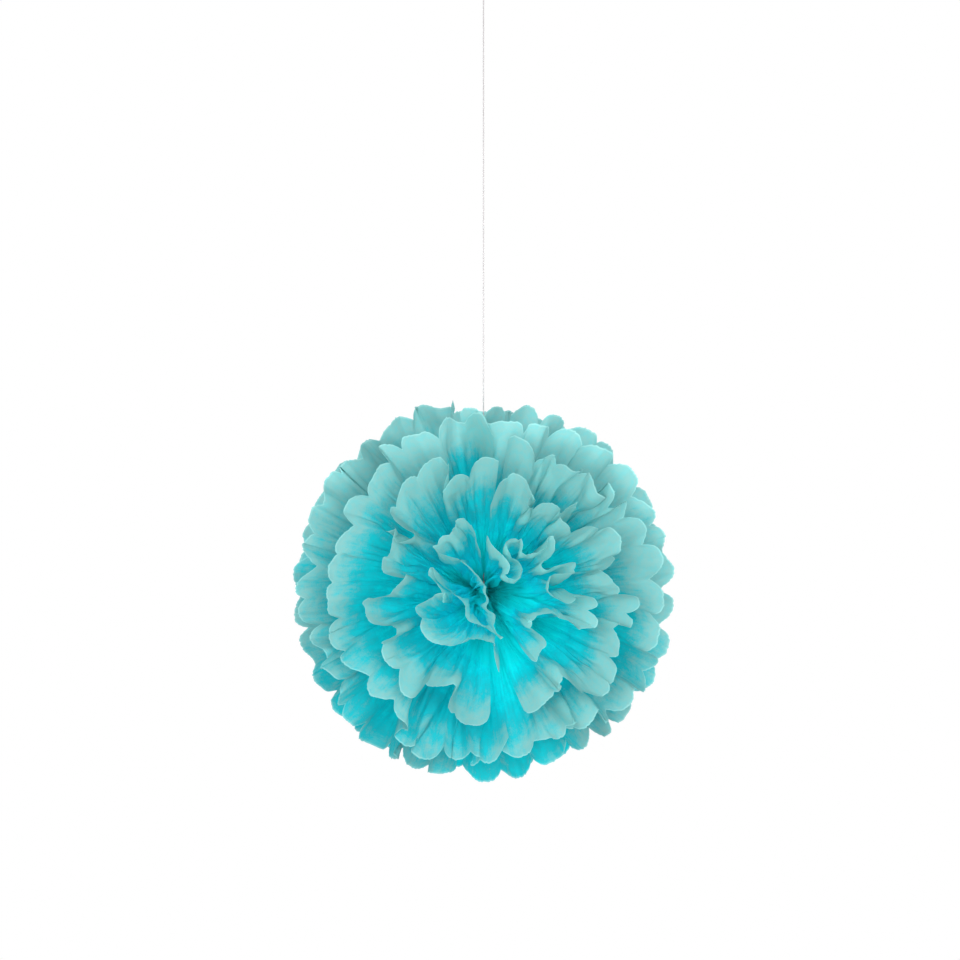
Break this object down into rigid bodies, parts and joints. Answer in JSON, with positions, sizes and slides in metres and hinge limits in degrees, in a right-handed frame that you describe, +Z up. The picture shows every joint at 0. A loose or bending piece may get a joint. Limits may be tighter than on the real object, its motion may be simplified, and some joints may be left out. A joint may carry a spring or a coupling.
{
  "type": "tissue paper pom pom",
  "caption": "Round tissue paper pom pom: pleated sheets tied at the waist and fanned out into a ball of petals, hanging on a thread that ends in a small loop.",
  "frame": {"origin": "the inside top of the hanging loop, where a hook carries it; the tie at the ball's middle is 0.673 m below", "axes": "+Z up along the thread; -Y towards the front of the ball, the way the foremost sheets were pulled; X along the folded strip, from one half of the sheets to the other"},
  "size_m": [0.3935, 0.3931, 0.8717],
  "materials": {
    "tissue_paper": "thin matte aqua tissue paper, pale at the petals' edges and deeper turquoise towards the tie",
    "thread": "white twisted thread"
  },
  "bodies": {
    "root": {"tissue_sheet_01": "tissue_paper", "tissue_sheet_02": "tissue_paper", "tissue_sheet_03": "tissue_paper", "tissue_sheet_04": "tissue_paper", "tissue_sheet_05": "tissue_paper", "tissue_sheet_06": "tissue_paper", "tissue_sheet_07": "tissue_paper", "tissue_sheet_08": "tissue_paper", "waist_tie": "thread", "hanging_thread": "thread", "loop_knot": "thread", "hanging_loop": "thread"}
  },
  "joints": []
}
